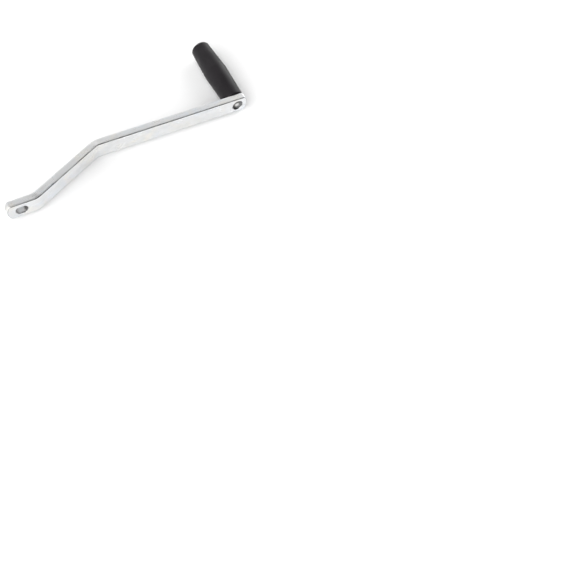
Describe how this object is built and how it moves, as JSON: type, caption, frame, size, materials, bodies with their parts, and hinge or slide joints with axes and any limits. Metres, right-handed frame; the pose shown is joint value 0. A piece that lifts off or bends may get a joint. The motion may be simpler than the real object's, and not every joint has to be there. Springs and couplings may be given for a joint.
{
  "type": "hand crank with revolving grip",
  "caption": "Hand crank: bent flat zinc-plated steel arm with a double-D hub hole and a black barrel grip that revolves freely on a riveted steel spindle.",
  "frame": {"origin": "centre of the hub hole on the arm's seating face, the side that lies against the machine", "axes": "+X along the arm from the hub to the grip, +Y out from the machine through the bar's thickness and along the grip, +Z along the bar's width, up"},
  "size_m": [0.3651, 0.1648, 0.0338],
  "materials": {
    "zinc_plated_steel": "bright zinc plating over rolled flat bar, satin",
    "bright_steel": "turned steel, zinc plated, hammered at the riveted end",
    "washer_steel": "blanked steel",
    "spring_steel": "phosphated spring steel",
    "black_grip_plastic": "black moulded thermoplastic, satin with a fine texture",
    "black_cap_plastic": "black moulded thermoplastic, satin",
    "bearing_plastic": "natural acetal, smooth"
  },
  "bodies": {
    "crank": {"crank_arm": "zinc_plated_steel", "grip_spindle": "bright_steel", "base_washer": "washer_steel", "outer_washer": "washer_steel", "retaining_ring": "spring_steel"},
    "grip": {"grip_shell": "black_grip_plastic", "end_cap": "black_cap_plastic", "inner_bush": "bearing_plastic", "outer_bush": "bearing_plastic"}
  },
  "joints": [
    {"name": "grip_spin", "type": "hinge", "parent": "crank", "child": "grip", "pos_m": [0.33, 0.11, 0], "axis": [0, 1, 0], "continuous": true}
  ]
}
